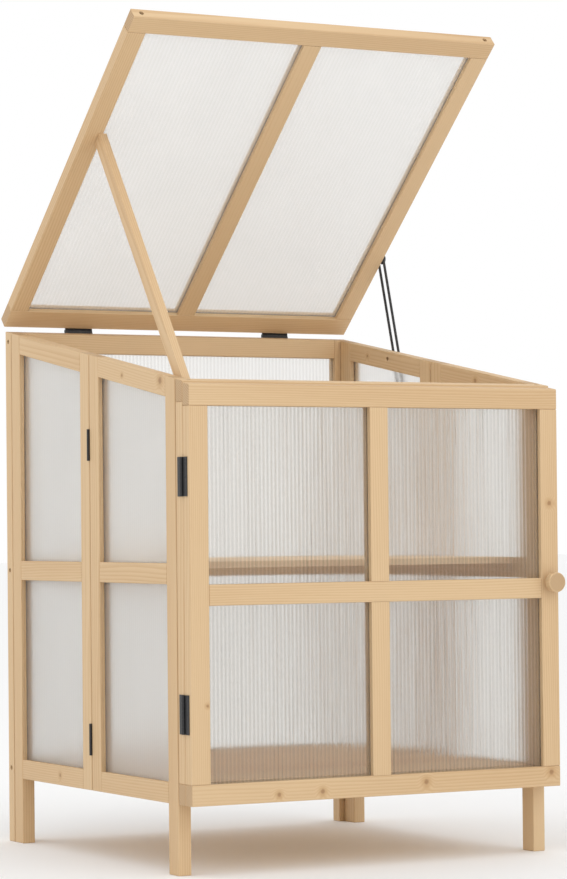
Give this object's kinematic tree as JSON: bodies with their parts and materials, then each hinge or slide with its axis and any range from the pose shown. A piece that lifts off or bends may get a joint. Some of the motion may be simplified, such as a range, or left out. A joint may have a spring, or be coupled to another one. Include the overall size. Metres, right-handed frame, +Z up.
{
  "type": "cold frame",
  "caption": "Timber greenhouse cold frame on short legs with glazed walls, a hinged front door, an inside shelf and a sloping lid propped open by a stick.",
  "frame": {"origin": "centre of the closed body's plan at the level of the feet", "axes": "+X to the right as seen from the door side, +Y from the door towards the back, +Z up"},
  "size_m": [0.5926, 0.6133, 1.1636],
  "materials": {
    "fir": "satin",
    "board": "satin",
    "twin_wall_sheet": "satin",
    "black_steel": "painted",
    "screw_steel": "satin",
    "elastic": "matte"
  },
  "bodies": {
    "frame": {"back_bottom_rail": "fir", "back_left_stile": "fir", "back_middle_rail": "fir", "back_panes": "twin_wall_sheet", "back_right_stile": "fir", "back_top_rail": "fir", "battens": "fir", "cord_wall_peg": "black_steel", "door_hinge_frame_leaves": "black_steel", "elastic_cord": "elastic", "floor_board": "board", "fold_hinges": "black_steel", "frame_screws": "screw_steel", "front_frame_bottom_rail": "fir", "front_frame_left_stile": "fir", "front_frame_right_stile": "fir", "front_frame_top_rail": "fir", "left_front_bottom_rail": "fir", "left_front_leg_stile": "fir", "left_front_middle_rail": "fir", "left_front_middle_stile": "fir", "left_front_top_rail": "fir", "left_rear_bottom_rail": "fir", "left_rear_leg_stile": "fir", "left_rear_middle_rail": "fir", "left_rear_middle_stile": "fir", "left_rear_top_rail": "fir", "left_wall_panes": "twin_wall_sheet", "lid_hinge_back_leaves": "black_steel", "right_front_bottom_rail": "fir", "right_front_leg_stile": "fir", "right_front_middle_rail": "fir", "right_front_middle_stile": "fir", "right_front_top_rail": "fir", "right_rear_bottom_rail": "fir", "right_rear_leg_stile": "fir", "right_rear_middle_rail": "fir", "right_rear_middle_stile": "fir", "right_rear_top_rail": "fir", "right_wall_panes": "twin_wall_sheet", "shelf_board": "board"},
    "door": {"door_bottom_rail": "fir", "door_glazing_bars": "fir", "door_hinge_door_leaves": "black_steel", "door_knob": "fir", "door_left_stile": "fir", "door_middle_rail": "fir", "door_panes": "twin_wall_sheet", "door_right_stile": "fir", "door_top_rail": "fir"},
    "lid": {"lid_centre_bar": "fir", "lid_front_rail": "fir", "lid_hinge_lid_leaves": "black_steel", "lid_left_stile": "fir", "lid_panes": "twin_wall_sheet", "lid_rear_rail": "fir", "lid_right_stile": "fir", "lid_screws": "screw_steel"},
    "prop_foot": {"prop_foot_peg": "screw_steel"},
    "prop": {"prop_stick": "fir"}
  },
  "joints": [
    {"name": "door_hinge", "type": "hinge", "parent": "frame", "child": "door", "pos_m": [-0.2925, -0.2652, 0.37], "axis": [0, 0, 1], "range_deg": [-180, 0]},
    {"name": "lid_hinge", "type": "hinge", "parent": "frame", "child": "lid", "pos_m": [0, 0.3005, 0.75257], "axis": [1, 0, 0], "range_deg": [0, 51.9], "deforming": ["elastic_cord"]},
    {"name": "prop_slide", "type": "slide", "parent": "frame", "child": "prop_foot", "axis": [0, 0, -1], "range_m": [0, 0.4505]},
    {"name": "prop_turn", "type": "hinge", "parent": "prop_foot", "child": "prop", "pos_m": [-0.2645, -0.23, 0.64], "axis": [1, 0, 0], "range_deg": [0, 34.8]}
  ],
  "couplings": [
    {"joint": "prop_slide", "follows": "lid_hinge", "m_per_rad": 0.49678},
    {"joint": "prop_turn", "follows": "lid_hinge", "ratio": 0.66859}
  ]
}
